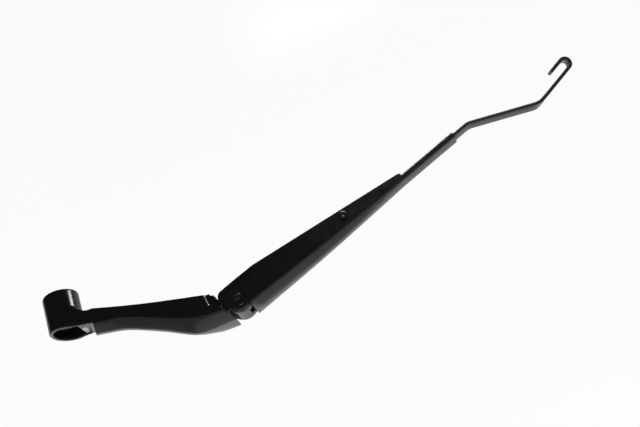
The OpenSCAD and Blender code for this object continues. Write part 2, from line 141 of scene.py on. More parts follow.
class WiperFinishes(bpy.types.PropertyGroup):
    """Colours of the coatings and of the bare materials"""
    head_coat: hue("Head coat", "Powder coat of the head", "171716")
    # the ledge's bright grey is a painted reflection of the white surroundings, given as bare metal
    ledge: hue("Ledge reflection", "Bright metal on the ledge, a painted reflection", "c4c4c2")
    retainer_coat: hue("Retainer coat", "Dip paint of the retainer", "131312")
    rod_coat: hue("Rod coat", "Electro-coat of the rod", "1c1c1a")
    rivet_coat: hue("Rivet coat", "Paint on the formed rivets", "20201e")
    bush: hue("Bushes", "Natural acetal of the hinge bushes", "d8d4c4")
    spring_wire: hue("Spring wire", "Oiled wire of the spring", "55565a")
    link_steel: hue("Link and pin", "Phosphated steel of the link and the anchor pin", "6a6a66")
    paper: hue("Studio paper", "Paper under the part", "f4f4f2")


class WiperStageSizes(bpy.types.PropertyGroup):
    """Sizes of the stage and strength of its light"""
    floor_drop: size("Floor drop", "Distance of the floor below the part", 0.13, 0, 0.4)
    softbox: FloatProperty(name="Softbox", description="Radiance of the softbox behind the arm",
                           default=1.4, min=0, max=10)


def sizes(group):
    """One group of the scene's properties"""
    return getattr(bpy.context.scene, group)


def finish(name):
    """One colour of the finishes, with its alpha"""
    return (*getattr(sizes("wiper_finishes"), name), 1.0)


# ---------------------------------------------------------------- small tools
def clamp(value, low=0.0, high=1.0):
    """The value kept between low and high"""
    return min(max(value, low), high)

def mix(a, b, t):
    """Between a and b, at t from 0 to 1"""
    return a + (b - a) * t

def ease(t):
    """Smooth step from 0 to 1"""
    t = clamp(t)
    return t * t * (3 - 2 * t)

def soft_min(a, b, blend=0.8):
    """The lower of two heights, with a rounded change from one to the other"""
    return min(a, b) - blend * math.log1p(math.exp(-abs(a - b) / blend))

def arc(cx, cz, radius, start, end, steps):
    """Points on an arc, angles in degrees"""
    turns = [math.radians(mix(start, end, i / steps)) for i in range(steps + 1)]
    return [(cx + radius * math.cos(t), cz + radius * math.sin(t)) for t in turns]

def make_object(name, points, faces, place=None):
    """A mesh object from points in millimetres"""
    mesh = bpy.data.meshes.new(name)
    mesh.from_pydata([Vector(p) * MM for p in points], [], faces)
    if place is not None:
        shift = place.copy()
        shift.translation = place.translation * MM
        mesh.transform(shift)
    mesh.validate()
    mesh.update()
    obj = bpy.data.objects.new(name, mesh)
    bpy.context.scene.collection.objects.link(obj)
    return obj

def loft(name, rings, closed=False, place=None):
    """Skin through rings of equal length, with end caps unless the path is closed"""
    size, count = len(rings[0]), len(rings)
    points = [p for ring in rings for p in ring]
    faces = []
    for i in range(count if closed else count - 1):
        a, b = i * size, ((i + 1) % count) * size
        faces += [(a + j, a + (j + 1) % size, b + (j + 1) % size, b + j) for j in range(size)]
    if not closed:
        faces += [tuple(reversed(range(size))), tuple((count - 1) * size + j for j in range(size))]
    obj = make_object(name, points, faces, place)
    fix_normals(obj)
    return obj

def fix_normals(obj):
    """Turns all faces outwards and closes coincident points"""
    work = bmesh.new()
    work.from_mesh(obj.data)
    bmesh.ops.remove_doubles(work, verts=work.verts, dist=1e-7)
    bmesh.ops.recalc_face_normals(work, faces=work.faces)
    work.to_mesh(obj.data)
    work.free()

def slab(name, width, outline, place=None, centre=0.0):
    """An outline in X and Z, thick along Y"""
    rings = [[(x, centre + side * width / 2, z) for x, z in outline] for side in (-1, 1)]
    return loft(name, rings, place=place)

def turned(name, profile, origin, axis="Z", steps=96):
    """A body of revolution; the profile holds distances along the axis and radii"""
    rings = []
    for along, radius in profile:
        ring = []
        for k in range(steps):
            turn = 2 * math.pi * k / steps
            c, s = radius * math.cos(turn), radius * math.sin(turn)
            p = (c, s, along) if axis == "Z" else (c, along, s)
            ring.append(tuple(origin[i] + p[i] for i in range(3)))
        rings.append(ring)
    return loft(name, rings)

def settle(obj):
    """Applies the object's modifiers to its mesh"""
    bpy.context.view_layer.update()
    graph = bpy.context.evaluated_depsgraph_get()
    mesh = bpy.data.meshes.new_from_object(obj.evaluated_get(graph))
    old = obj.data
    obj.modifiers.clear()
    obj.data = mesh
    bpy.data.meshes.remove(old)
    return obj

def combine(body, tool, operation):
    """Boolean of two objects; the tool is used up"""
    step = body.modifiers.new("Boolean", "BOOLEAN")
    step.object, step.operation, step.solver = tool, operation, "MANIFOLD"
    settle(body)
    mesh = tool.data
    bpy.data.objects.remove(tool)
    bpy.data.meshes.remove(mesh)
    return body

def join(body, others):
    """Joins overlapping closed shells in one object"""
    work = bmesh.new()
    work.from_mesh(body.data)
    for other in others:
        work.from_mesh(other.data)
        mesh = other.data
        bpy.data.objects.remove(other)
        bpy.data.meshes.remove(mesh)
    work.to_mesh(body.data)
    work.free()
    return body

def smooth_by_angle(obj, degrees=32.0):
    """Smooth shading that keeps the edges sharper than an angle"""
    mesh = obj.data
    mesh.shade_smooth()
    mesh.set_sharp_from_angle(angle=math.radians(degrees))

def finish_piece(obj, body, node, material, sharp=32.0):
    """Paints a piece, lets it ride on its body and take the place of its CAD node"""
    obj.data.materials.clear()
    obj.data.materials.append(material)
    if sharp:
        smooth_by_angle(obj, sharp)
    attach(obj, body)
    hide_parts(node)
    return obj


# ---------------------------------------------------------------- materials
# Places of the colour sockets on a Mix node
COLOUR_A, COLOUR_B, COLOUR_OUT = 6, 7, 2


def add_node(tree, kind, inputs=None, **settings):
    """Adds a node with its settings; an input is a value or another node's output"""
    node = tree.nodes.new(kind)
    for name, value in settings.items():
        setattr(node, name, value)
    for socket, value in (inputs or {}).items():
        if isinstance(value, bpy.types.NodeSocket):
            tree.links.new(value, node.inputs[socket])
        else:
            node.inputs[socket].default_value = value
    return node

def new_material(name):
    """An empty material with its tree, surface position in metres and output node"""
    material = bpy.data.materials.new(name)
    material.use_nodes = True
    tree = material.node_tree
    tree.nodes.clear()
    where = add_node(tree, "ShaderNodeNewGeometry").outputs["Position"]
    return material, tree, where, add_node(tree, "ShaderNodeOutputMaterial")

def per_metre(millimetres):
    """Noise scale that gives a pattern of this size"""
    return 1 / (millimetres * MM)


def two_tones(tree, factor, first, second):
    """Colour that drifts between two tones"""
    return add_node(tree, "ShaderNodeMix", {"Factor": factor, COLOUR_A: first, COLOUR_B: second},
                    data_type="RGBA").outputs[COLOUR_OUT]


def black_paint(name, tone, thin_tone, roughness, peel_mm, peel, edge_mm):
    """Black coating: drifting tone, patchy gloss, orange peel and rounded edges in the normal"""
    material, tree, where, out = new_material(name)
    # the tone drifts over about 28 mm and the gloss over about 9 mm
    cloud = add_node(tree, "ShaderNodeTexNoise",
                     {"Vector": where, "Scale": per_metre(28), "Detail": 3.0})
    patch = add_node(tree, "ShaderNodeTexNoise",
                     {"Vector": where, "Scale": per_metre(9), "Detail": 4.0})
    grain = add_node(tree, "ShaderNodeTexNoise",
                     {"Vector": where, "Scale": per_metre(peel_mm), "Detail": 2.0})
    tint = two_tones(tree, cloud.outputs["Fac"], tone, linear(thin_tone))
    rough = add_node(tree, "ShaderNodeMapRange", {
        "Value": patch.outputs["Fac"], "From Min": 0.3, "From Max": 0.7,
        "To Min": roughness * 0.85, "To Max": roughness * 1.2})
    edge = add_node(tree, "ShaderNodeBevel", {"Radius": edge_mm * MM}, samples=4)
    bump = add_node(tree, "ShaderNodeBump", {
        "Height": grain.outputs["Fac"], "Strength": peel, "Distance": 0.02 * MM,
        "Normal": edge.outputs["Normal"]})
    shader = add_node(tree, "ShaderNodeBsdfPrincipled", {
        "Base Color": tint, "Roughness": rough.outputs["Result"],
        "Normal": bump.outputs["Normal"], "IOR": 1.5})
    tree.links.new(shader.outputs["BSDF"], out.inputs["Surface"])
    return material


def cast_paint():
    """Black powder coat on die-cast aluminium: glossy, softly wavy like a baked powder film"""
    return black_paint("black_powder_coat_on_die_cast_aluminium", finish("head_coat"), "1d1d1b",
                       roughness=0.22, peel_mm=1.9, peel=0.22, edge_mm=0.5)


def ledge_reflection_metal():
    """Bare blasted die-cast aluminium, bright grey and evenly matt: a painted reflection of the
    white surroundings on the recess's ledge
    """
    material, tree, where, out = new_material("die_cast_aluminium_painted_reflection")
    # blasting grit of 0.7 mm: coarser than real, so that it shows
    grit = add_node(tree, "ShaderNodeTexNoise",
                    {"Vector": where, "Scale": per_metre(0.7), "Detail": 3.0})
    # bright grey tones of the painted reflection, mottled by the grit
    tint = two_tones(tree, grit.outputs["Fac"], finish("ledge"), linear("a4a4a3"))
    bump = add_node(tree, "ShaderNodeBump", {
        "Height": grit.outputs["Fac"], "Strength": 0.3, "Distance": 0.03 * MM})
    shader = add_node(tree, "ShaderNodeBsdfPrincipled", {
        "Base Color": tint, "Metallic": 1.0, "Roughness": 0.5,
        "Normal": bump.outputs["Normal"]})
    tree.links.new(shader.outputs["BSDF"], out.inputs["Surface"])
    return material


def pressed_paint():
    """Black dip paint on pressed steel: thinner than powder, so flatter and a little duller"""
    return black_paint("black_dip_paint_on_pressed_steel", finish("retainer_coat"), "191918",
                       roughness=0.34, peel_mm=1.4, peel=0.22, edge_mm=0.35)


def rod_paint():
    """Black electro-coat on a drawn steel bar: even satin, with the fine grain of the bar"""
    return black_paint("black_electrocoat_on_drawn_steel_bar", finish("rod_coat"), "232320",
                       roughness=0.32, peel_mm=0.8, peel=0.2, edge_mm=0.3)


def rivet_paint():
    """Dip paint on a formed steel rivet: glossier where the forming tool pressed the steel"""
    return black_paint("dip_paint_on_formed_steel_rivet", finish("rivet_coat"), "2b2b28",
                       roughness=0.2, peel_mm=0.8, peel=0.3, edge_mm=0.2)


def acetal():
    """Natural acetal, turned: milky off-white with fine turning marks"""
    material, tree, where, out = new_material("turned_natural_acetal")
    # turning marks of 1.2 mm: coarser than real, so that they show
    grain = add_node(tree, "ShaderNodeTexNoise",
                     {"Vector": where, "Scale": per_metre(1.2), "Detail": 3.0})
    bump = add_node(tree, "ShaderNodeBump", {
        "Height": grain.outputs["Fac"], "Strength": 0.2, "Distance": 0.02 * MM})
    tint = two_tones(tree, grain.outputs["Fac"], finish("bush"), linear("c9c4b2"))
    shader = add_node(tree, "ShaderNodeBsdfPrincipled", {
        "Base Color": tint, "Roughness": 0.42, "Normal": bump.outputs["Normal"], "IOR": 1.48})
    tree.links.new(shader.outputs["BSDF"], out.inputs["Surface"])
    return material


def oiled_steel(name, tone, dark_tone, roughness):
    """Bare or phosphated steel, oiled: dark grey fine crystals, dull with a faint sheen of oil"""
    material, tree, where, out = new_material(name)
    # crystals of 0.9 mm: coarser than real, so that they show; the oil lies in 6 mm patches
    crystal = add_node(tree, "ShaderNodeTexVoronoi", {"Vector": where, "Scale": per_metre(0.9)})
    cloud = add_node(tree, "ShaderNodeTexNoise",
                     {"Vector": where, "Scale": per_metre(6), "Detail": 4.0})
    tint = two_tones(tree, cloud.outputs["Fac"], tone, linear(dark_tone))
    rough = add_node(tree, "ShaderNodeMapRange", {
        "Value": cloud.outputs["Fac"], "To Min": roughness * 0.8, "To Max": roughness * 1.25})
    bump = add_node(tree, "ShaderNodeBump", {
        "Height": crystal.outputs["Distance"], "Strength": 0.25, "Distance": 0.03 * MM})
    shader = add_node(tree, "ShaderNodeBsdfPrincipled", {
        "Base Color": tint, "Metallic": 1.0, "Roughness": rough.outputs["Result"],
        "Normal": bump.outputs["Normal"]})
    tree.links.new(shader.outputs["BSDF"], out.inputs["Surface"])
    return material


def floor_paper():
    """Matt white studio paper: the camera sees it near white, with the part's soft shadow kept"""
    material, tree, where, out = new_material("matt_white_studio_paper")
    grain = add_node(tree, "ShaderNodeTexNoise",
                     {"Vector": where, "Scale": per_metre(3), "Detail": 3.0})
    bump = add_node(tree, "ShaderNodeBump", {
        "Height": grain.outputs["Fac"], "Strength": 0.05, "Distance": 0.05 * MM})
    paper = add_node(tree, "ShaderNodeBsdfPrincipled", {
        "Base Color": finish("paper"), "Roughness": 0.9, "Normal": bump.outputs["Normal"]})
    white = add_node(tree, "ShaderNodeEmission", {"Color": (1, 1, 1, 1), "Strength": 1.0})
    ray = add_node(tree, "ShaderNodeLightPath")
    # a tenth of the lit paper stays under the white, and keeps the shadow
    seen = add_node(tree, "ShaderNodeMath", {0: ray.outputs["Is Camera Ray"], 1: 0.9},
                    operation="MULTIPLY")
    both = add_node(tree, "ShaderNodeMixShader", {
        0: seen.outputs[0], 1: paper.outputs["BSDF"], 2: white.outputs["Emission"]})
    tree.links.new(both.outputs["Shader"], out.inputs["Surface"])
    return material


def card_material(name, strength):
    """Plain card or softbox face of one radiance"""
    material, tree, _, out = new_material(name)
    glow = add_node(tree, "ShaderNodeEmission", {"Color": (1, 1, 1, 1), "Strength": strength})
    tree.links.new(glow.outputs["Emission"], out.inputs["Surface"])
    return material


# ---------------------------------------------------------------- the cast head
# Stations along the arm and half widths
HUB_X, NECK_X, SHOULDER_X = 2.7, 28.4, 125.0
HEAD_HW, NECK_HW, TONGUE_HW, SLOT_HW = 13.0, 10.5, 11.04, 3.4
# Side walls, from neck to shoulder: their corner with the domed face, and their lower edge
NECK_CORNER_Z, SHOULDER_CORNER_Z, CORNER_R = 24.4, 60.4, 2.4
NECK_LOW_Z, SHOULDER_LOW_Z = 7.6, 39.7
RAMP, RIM_RAMP = math.tan(math.radians(11.3)), math.tan(math.radians(9.5))
WALL, RIB = 2.8, 2.2
# Hub with its rim, the nut's seat, and the skewed step that ends the rim
HUB_R, HUB_LOW_Z, RIM_Z, RIM_WALL, NUT_SEAT_Z = 15.6, -19.3, 16.8, 3.2, 5.0
STEP_X, STEP_SKEW = 23.5, math.tan(math.radians(17.5))
SPINDLE_BORE = [(-25, 11.7), (-9.5, 11.7), (-9.5, 7.6), (0, 6.3), (0, 5.2), (6, 5.2)]
# Ledge in the recess whose bright bare-metal grey is a painted reflection: its reach along X, Y and
# Z
REFLECTION_LEDGE = ((11.4, 16.4), (-10.6, 0.4), (16.2, 18.1))
# Shoulder and tongue
EAR_ROOM_R, BEVEL, BUSH_BORE_R, ANCHOR_BORE_R, LOBE_R = 13.8, 4.5, 4.4, 2.0, 4.6
NOTCH = [(HINGE_X - 15.4, HINGE_Z - 5.4), (HINGE_X - 16.9, HINGE_Z - 6.4),
         (HINGE_X - 17.3, HINGE_Z - 9.1), (HINGE_X - 18.1, HINGE_Z - 11.0),
         (SHOULDER_X + 3.4, 41.6)]
FORK = [(HINGE_X - 11, 20), (HINGE_X + 20, 20), (HINGE_X + 20, HINGE_Z + 18.7),
        (HINGE_X + 7, HINGE_Z + 13.6), (HINGE_X + 0.4, HINGE_Z + 5), (HINGE_X - 9, HINGE_Z + 5),
        (HINGE_X - 11, HINGE_Z + 2)]


def along_head(x):
    """Place along the head: 0 at the neck, 1 at the shoulder"""
    return (x - NECK_X) / (SHOULDER_X - NECK_X)


def half_width(x):
    """Half width of the head: drawn in behind the hub, then wider to the shoulder"""
    if x < NECK_X:
        drawn = max(0, 1 - (x - HUB_X) / (NECK_X - HUB_X)) ** 2.2
        return NECK_HW + (HUB_R - 0.2 - NECK_HW) * drawn
    return mix(NECK_HW, HEAD_HW, ease(along_head(x)))


def corner_z(x):
    """Height of the line where the side walls meet the domed outer face"""
    if x < NECK_X:
        return NECK_CORNER_Z + (x - NECK_X) * RAMP
    rise = 0.5 * min(along_head(x), 1) + 0.5 * ease((x - NECK_X - 12) / 78.2)
    return mix(NECK_CORNER_Z, SHOULDER_CORNER_Z, rise) + 0.09 * max(0, x - SHOULDER_X)


def low_z(x):
    """Height of the side walls' lower edge, which runs down into the hub"""
    if x < NECK_X:
        return NECK_LOW_Z - (HUB_R - HUB_X) * (1 - ease((x - 3.6) / (NECK_X - 7.1)))
    run = min(along_head(x), 1)
    return mix(NECK_LOW_Z, SHOULDER_LOW_Z, run) + 1.2 * math.sin(math.pi * run)


def dome(x):
    """Height of the outer face's dome over its corners"""
    crown = sizes("wiper_head")
    neck, head = crown.neck_crown / MM, crown.head_crown / MM
    t = along_head(x)
    return (neck + 2.3 * min(max(t, 0) * 2.6, 1) + (head - neck - 2.3) * ease((t - 0.52) / 0.46)
            - 1.4 * ease((t - 1) / 0.2))


def head_ring(x, roof):
    """Section of the head; where the roof limits its dome, the far flank is fuller"""
    w, zt, zb, r = half_width(x), corner_z(x), low_z(x), CORNER_R
    crown = soft_min(dome(x), roof - zt + 0.9, 1.6)
    short = max(0, 1 - crown / dome(x))
    tip = math.atan(w / (2 * crown))
    y1, z1 = w - r + r * math.cos(tip), zt - r + r * math.sin(tip)
    crest = soft_min(z1 + dome(x), roof + 0.1, 2.0)
    far = soft_min(zt + 12 * short, roof - 0.1, 1.0)
    wf = w + min(2.4, 7 * short)
    far_tip = min(tip + 1.2 * short, math.radians(80))
    y2, z2 = wf - r + r * math.cos(far_tip), far - r + r * math.sin(far_tip)
    outline = [(-w + 1, zb), (w - 1, zb), (w, zb + 1)]
    outline += arc(w - r, zt - r, r, 0, math.degrees(tip), 6)
    outline += [(y1 * i / 14, z1 + (crest - z1) * (1 - (i / 14) ** 2)) for i in range(13, 0, -1)]
    power = 2 + 3 * short
    outline += [(-y2 * i / 14, z2 + (crest - z2) * (1 - (i / 14) ** power)) for i in range(14)]
    outline += arc(-wf + r, far - r, r, 180 - math.degrees(far_tip), 180, 6)
    return [(x, y, z) for y, z in outline + [(-w, zb + 1)]]


def head_skin(roof):
    """Domed arm of the head, from the hub to just short of the hinge"""
    stations = [HUB_X + (NECK_X - HUB_X) * i / 10 for i in range(10)]
    stations += [mix(NECK_X, SHOULDER_X, i / 36) for i in range(37)]
    stations += [mix(SHOULDER_X, HINGE_X - 4, i / 8) for i in range(1, 9)]
    return loft("arm_head", [head_ring(x, roof) for x in stations])


def hollow_neck(skin):
    """Hollow underside, with its side walls and two ribs left standing"""
    x0, x1 = NECK_X + 3, SHOULDER_X - 6
    steps = [mix(x0, x1, i / 16) for i in range(17)]
    ceiling = [(x, corner_z(x) - WALL + dome(x) * 0.4) for x in steps]
    hollow = slab("hollow", THROUGH, ceiling + [(x1, -10), (x0, -10)])
    plan = [(x, half_width(x) - WALL) for x in steps]
    plan += [(x, WALL - half_width(x)) for x in reversed(steps)]
    walls = loft("walls", [[(x, y, z) for x, y in plan] for z in (-20, 100)])
    combine(hollow, walls, "INTERSECT")
    for i in (1, 2):
        x = mix(x0, x1, i / 3)
        low = low_z(x) + 3.5
        rib = [(x - RIB / 2, low), (x + RIB / 2, low), (x + RIB / 2, 90), (x - RIB / 2, 90)]
        combine(hollow, slab("rib", THROUGH, rib), "DIFFERENCE")
    combine(skin, hollow, "DIFFERENCE")


def cut_shoulders(skin):
    """Room for the retainer's ears, a 45 degree bevel where the side walls stop, and the notch"""
    for side in (-1, 1):
        y0 = side * TONGUE_HW
        ear = [(0, EAR_ROOM_R), (side * 14, EAR_ROOM_R)]
        combine(skin, turned("ear_room", ear, (HINGE_X, y0, HINGE_Z), "Y"), "DIFFERENCE")
        bevel = [[(x, y0 + side * k, z) for x, z in (
            (SHOULDER_X - k - 0.5, 35.1), (SHOULDER_X - k + 1.6, HINGE_Z - 3.2),
            (HINGE_X - 12 - k / 2, HINGE_Z + 1.8), (HINGE_X + 9, HINGE_Z + 1.8),
            (HINGE_X + 9, 35.1))] for k in (0, BEVEL)]
        combine(skin, loft("bevel", bevel), "DIFFERENCE")
    notch = [(HINGE_X + 9, HINGE_Z - 5.6)] + NOTCH + [(SHOULDER_X + 3.4, 30), (HINGE_X + 9, 30)]
    combine(skin, slab("notch", THROUGH, notch), "DIFFERENCE")


def cut_sweep(skin):
    """Clears what the retainer's spine sweeps, and the spine itself at full lift"""
    reach = math.hypot(SPINE_AHEAD, SPINE_OVER) + 0.6
    sweep = turned("sweep", [(-20, reach), (20, reach)], (HINGE_X, 0, HINGE_Z), "Y")
    combine(skin, sweep, "DIFFERENCE")
    a = math.radians(90 - SLOPE + FULL_LIFT)
    px = HINGE_X + 13.4 * math.cos(a) + SPINE_AHEAD * math.sin(a)
    pz = HINGE_Z + 13.4 * math.sin(a) - SPINE_AHEAD * math.cos(a)
    lifted = [(px, pz), (px + 40 * math.sin(a), pz - 40 * math.cos(a)),
              (HINGE_X + 60, pz + 40), (HINGE_X + 60, HINGE_Z), (px, HINGE_Z)]
    combine(skin, slab("lifted_spine", THROUGH, lifted), "DIFFERENCE")


def nose_radius(y):
    """Radius of the nose about the hinge; it drops near the retainer's bends"""
    drop = max(0.0, abs(y) - 13 + 5)
    bend = math.sqrt(max(0.0, 3.8 ** 2 - drop ** 2))
    return math.hypot(SPINE_AHEAD, SPINE_OVER - 5 + bend) - 0.45


def tongue_and_nose(roof):
    """Tongue with the anchor's lobe, and the round nose between the cheeks"""
    outline = [(SHOULDER_X - 4, 56.8)]
    outline += arc(HINGE_X, HINGE_Z, nose_radius(TONGUE_HW), 128, -62, 30)
    outline += arc(ANCHOR[0], ANCHOR[1], LOBE_R, -48, -170, 12)
    outline += [(HINGE_X - 8.9, HINGE_Z - 5.6)] + NOTCH + [(SHOULDER_X - 4, low_z(SHOULDER_X - 4))]
    tongue = slab("tongue", 2 * TONGUE_HW, outline)
    # half profile: a ball-like middle, then a flat side face
    half = []
    for i in range(10):
        y = 11.65 * math.sin(math.radians(10 * i))
        half.append((y, nose_radius(y)))
    half += [(11.65, 8.0), (TONGUE_HW - 0.02, 8.0)]
    profile = [(-y, r) for y, r in reversed(half)] + half[1:]
    nose = turned("nose", profile, (HINGE_X, 0, HINGE_Z), "Y")
    back, front, low = HINGE_X - 12.4, HINGE_X + 16, HINGE_Z + 1.8
    room = [(back, low), (front, low), (front, roof), (back, roof)]
    combine(nose, slab("nose_room", THROUGH, room), "INTERSECT")
    return [tongue, nose]


def step_x(y):
    """Place of the skewed step across the neck"""
    return STEP_X + y * STEP_SKEW


def cut_rim(body):
    """Levels the hub's rim, sloped like the head, up to the skewed step"""
    plan = ((-22, -40), (step_x(-40), -40), (step_x(40), 40), (-22, 40))
    rim = [[(x, y, z + x * RIM_RAMP) for x, y in plan] for z in (RIM_Z, RIM_Z + 40)]
    combine(body, loft("rim", rim), "DIFFERENCE")


def cut_recess(body):
    """Nut recess, round about the spindle, with the ledge at the neck left standing"""
    hw = NECK_HW - 1.8
    plan = arc(0, 0, HUB_R - RIM_WALL, 80, 280, 40)
    plan += [(step_x(-hw) - 3.4, -hw), (step_x(hw) - 3.4, hw)]
    recess = loft("recess", [[(x, y, z) for x, y in plan] for z in (NUT_SEAT_Z, 45)])
    ledge = [(10.9, 4), (30, 4), (30, 17.6), (11.8, 17.3), (10.9, NUT_SEAT_Z + 1.2)]
    combine(recess, slab("ledge", THROUGH, ledge), "DIFFERENCE")
    combine(body, recess, "DIFFERENCE")


def cut_bores(body):
    """Skirt, tapered seat and stud bore, the cross bores of both pins, and the tongue's fork"""
    combine(body, turned("bore", SPINDLE_BORE, (0, 0, 0)), "DIFFERENCE")
    for x, z, r in ((HINGE_X, HINGE_Z, BUSH_BORE_R), (ANCHOR[0], ANCHOR[1], ANCHOR_BORE_R)):
        bore = turned("cross_bore", [(-20, r), (20, r)], (x, 0, z), "Y")
        combine(body, bore, "DIFFERENCE")
    combine(body, slab("fork", 2 * SLOT_HW, FORK), "DIFFERENCE")


def cast(body, passes=0):
    """Remeshes a casting in one skin; the passes round its edges"""
    remesh = body.modifiers.new("Casting", "REMESH")
    remesh.mode, remesh.voxel_size = "VOXEL", sizes("wiper_head").voxel
    if passes:
        soft = body.modifiers.new("Edges", "SMOOTH")
        soft.factor, soft.iterations = 0.5, passes
    settle(body)


def build_head():
    """The whole casting, kept just below the top of the CAD's box"""
    roof = ROOF_Z - 0.15
    skin = head_skin(roof)
    hollow_neck(skin)
    cut_shoulders(skin)
    cut_sweep(skin)
    tongue, nose = tongue_and_nose(roof)
    hub = turned("hub", [(HUB_LOW_Z, HUB_R), (RIM_Z + 5, HUB_R)], (0, 0, 0))
    body = join(skin, [tongue, nose, hub])
    cast(body)
    cut_rim(body)
    cut_recess(body)
    cut_bores(body)
    cast(body, sizes("wiper_head").fillet)
    return body


class WIPER_OT_head(bpy.types.Operator):
    """Die-cast head: hub with nut recess, domed arm, shoulders and tongue"""
    bl_idname = "wiper.head"
    bl_label = "Cast head"

    def execute(self, context):
        body = build_head()
        if len(body.data.vertices) < 1000:
            raise RuntimeError("the cast head came out empty")
        finish_piece(body, "head_body", "head", cast_paint(), sharp=0)
        body.data.shade_smooth()
        # the ledge in the recess gets bright bare metal, a painted reflection of the white
        # surroundings
        body.data.materials.append(ledge_reflection_metal())
        for face in body.data.polygons:
            inside = all(low < v < high for v, (low, high) in zip(face.center / MM, REFLECTION_LEDGE))
            if inside and face.normal.z > 0.7:
                face.material_index = 1
        return {"FINISHED"}


# ---------------------------------------------------------------- the retainer and its crimp
# Lengths along the spine, cheek depths below it and half widths
RETAINER_L, CRIMP_L, DEEP_L = 219.0, 58.0, 21.0
SHEET, CHEEK_H, CHEEK_END_H = 1.2, 26.5, 8.0
CRIMP_S, RETAINER_HW, CRIMP_HW, CRIMP_H = RETAINER_L - CRIMP_L, 13.0, 6.0, 5.5
# The hinge, seen from the spine's end
PIN_S, PIN_Z = -SPINE_AHEAD, -SPINE_OVER


def rounded(points, steps=8):
    """Outline whose corners with a third value are rounded with that radius"""
    out = []
    for i, corner in enumerate(points):
        if len(corner) < 3:
            out.append(tuple(corner))
            continue
        o, r = Vector(corner[:2]), corner[2]
        u = (Vector(points[i - 1][:2]) - o).normalized()
        v = (Vector(points[(i + 1) % len(points)][:2]) - o).normalized()
        half = math.acos(clamp(u.dot(v), -1, 1)) / 2
        middle = o + (u + v).normalized() * r / math.sin(half)
        p, q = o + u * r / math.tan(half) - middle, o + v * r / math.tan(half) - middle
        start = math.atan2(p.y, p.x)
        turn = math.atan2(p.x * q.y - p.y * q.x, p.dot(q))
        for k in range(steps + 1):
            t = start + turn * k / steps
            out.append((middle.x + r * math.cos(t), middle.y + r * math.sin(t)))
    return out


def cheek_depth(s):
    """Depth of the cheeks: full at the hinge, tapered to the crimp, then rounded off"""
    if s <= DEEP_L:
        return CHEEK_H
    if s <= CRIMP_S - 3:
        return mix(CHEEK_H, CHEEK_END_H, (s - DEEP_L) / (CRIMP_S - 3 - DEEP_L))
    return mix(CRIMP_H + 0.2, CHEEK_END_H, math.sqrt(max(0, 1 - ((s - CRIMP_S + 3) / 5) ** 2)))


def retainer_half_width(s):
    """Half width of the retainer, tapered from the hinge to the crimp"""
    return RETAINER_HW if s <= 4 else mix(RETAINER_HW, CRIMP_HW, (s - 4) / (CRIMP_S + 2))


def retainer_ring(s):
    """Section of the channel: cheeks, bends and a spine crowned across and bowed along"""
    shape = sizes("wiper_retainer")
    w, h = retainer_half_width(s), cheek_depth(s)
    r = mix(2.8, 1.9, clamp(s / CRIMP_S))
    bow = shape.spine_bow / MM * math.sin(math.pi * clamp(s / CRIMP_S))
    # the crown fades out towards the crimp, and at the hinge to clear the head
    faded = shape.spine_crown / MM * (1 - ease((s - 60) / (CRIMP_S * 1.1 - 60)))
    crown = max(min(faded, 0.3 + 0.3 * max(s, 0)), 0.05)
    flat = w - r
    tip = math.atan2(w, 2 * crown)

    def section(d):
        y1, z1 = flat + (r - d) * math.cos(tip), -r + (r - d) * math.sin(tip)
        spine = [(y1 * i / 8, z1 + bow + crown * (1 - (i / 8) ** 2)) for i in range(7, -8, -1)]
        return ([(w - d, -h)] + arc(flat, bow - r, r - d, 0, math.degrees(tip), 8) + spine
                + arc(-flat, bow - r, r - d, 180 - math.degrees(tip), 180, 8) + [(-w + d, -h)])
    return [(s, y, z) for y, z in section(0) + list(reversed(section(SHEET)))]


def crimp_profile():
    """Closed section around the rod, with a slit where the two edges meet"""
    w, r, slit, rod_room = CRIMP_HW, 1.7, 1.53, 4.53
    low, floor = -CRIMP_H, SHEET - CRIMP_H
    profile = [(slit, low)] + arc(w - r, r - CRIMP_H, r, 270, 360, 6) + arc(w - r, -r, r, 0, 90, 6)
    profile += arc(r - w, -r, r, 90, 180, 6) + arc(r - w, r - CRIMP_H, r, 180, 270, 6)
    profile += [(-slit, low), (-slit, floor), (-rod_room, floor), (-rod_room, -SHEET)]
    return profile + [(rod_room, -SHEET), (rod_room, floor), (slit, floor)]


def build_retainer():
    """Channel, its two ears about the hinge, and the crimp"""
    stops = [0, 2, 4] + [mix(4, DEEP_L, i / 6) for i in range(1, 7)]
    stops += [mix(DEEP_L, CRIMP_S - 3, i / 30) for i in range(1, 31)]
    stops += [CRIMP_S - 3 + 5 * math.sin(math.radians(i * 9)) for i in range(1, 11)]
    body = loft("channel_retainer", [retainer_ring(s) for s in stops], place=RETAINER)
    rear = PIN_S - 13.0
    ear = rounded([(1.5, -5.4), (0.0, -4.9), (PIN_S - 6.0, PIN_Z + 6.8, 3.6),
                   (rear, PIN_Z - 0.6, 5.3), (rear, -CHEEK_H, 5.8), (1.5, -CHEEK_H)])
    for side in (-1, 1):
        centre = side * (RETAINER_HW - SHEET / 2)
        combine(body, slab("ear", SHEET, ear, RETAINER, centre), "UNION")
    profile = crimp_profile()
    rings = [[(s, y, z) for y, z in profile] for s in (CRIMP_S, RETAINER_L)]
    combine(body, loft("crimp", rings, place=RETAINER), "UNION")
    return body


class WIPER_OT_retainer(bpy.types.Operator):
    """Pressed steel retainer: crowned channel with ears, closed around the rod at its end"""
    bl_idname = "wiper.retainer"
    bl_label = "Retainer"

    def execute(self, context):
        body = build_retainer()
        if len(body.data.polygons) < 500:
            raise RuntimeError("the retainer came out empty")
        finish_piece(body, "arm_body", "retainer", pressed_paint(), sharp=28)
        return {"FINISHED"}


